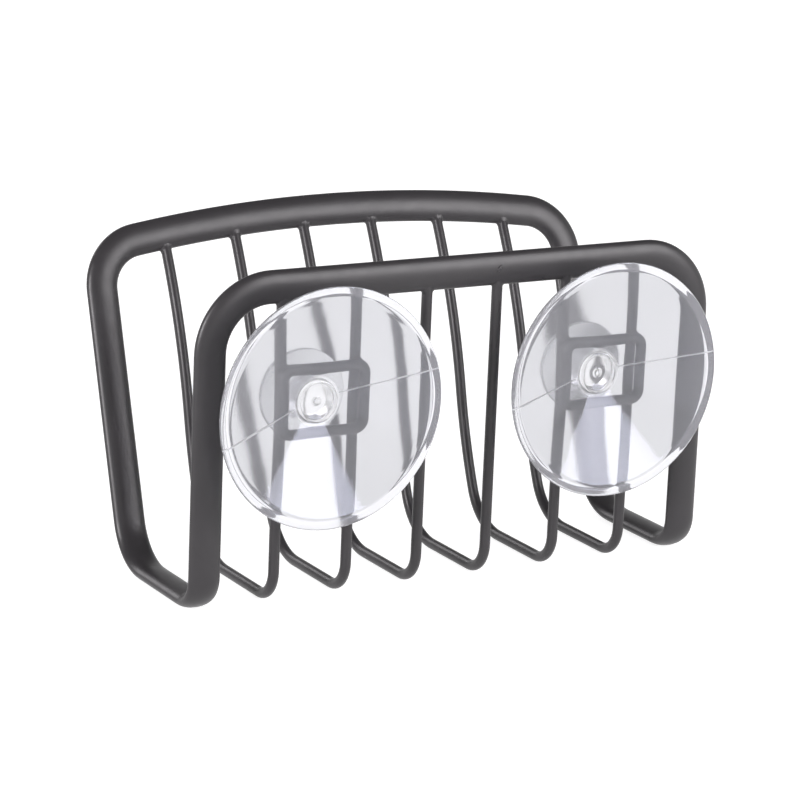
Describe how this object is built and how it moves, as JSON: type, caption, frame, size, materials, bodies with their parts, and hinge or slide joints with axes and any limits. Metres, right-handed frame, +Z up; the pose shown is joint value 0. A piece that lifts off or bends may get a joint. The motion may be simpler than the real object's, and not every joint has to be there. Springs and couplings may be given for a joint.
{
  "type": "sponge holder",
  "caption": "Suction-mounted sponge holder: a bent oval-rod frame carries a basket of U-shaped wires, with clear suction cups buttoned through welded rings on the wall side.",
  "frame": {"origin": "on the surface that the holder stands on, under the middle of its box", "axes": "+X along the holder, +Y away from the wall that the cups face, +Z up"},
  "size_m": [0.14, 0.0798, 0.083],
  "materials": {
    "coated_steel": "satin dark bronze-grey powder coat on steel rod and wire",
    "clear_pvc": "clear soft PVC, glossy, very slightly milky"
  },
  "bodies": {
    "holder": {"frame": "coated_steel", "wire_1": "coated_steel", "wire_2": "coated_steel", "wire_3": "coated_steel", "wire_4": "coated_steel", "wire_5": "coated_steel", "wire_6": "coated_steel", "cup_ring_left": "coated_steel", "cup_ring_right": "coated_steel"},
    "left_cup": {"suction_cup_left": "clear_pvc"},
    "right_cup": {"suction_cup_right": "clear_pvc"}
  },
  "joints": [
    {"name": "left_cup_spin", "type": "hinge", "parent": "holder", "child": "left_cup", "pos_m": [-0.04108, -0.02864, 0.0503], "axis": [0, 1, 0], "continuous": true},
    {"name": "right_cup_spin", "type": "hinge", "parent": "holder", "child": "right_cup", "pos_m": [0.03553, -0.02864, 0.0503], "axis": [0, 1, 0], "continuous": true}
  ]
}
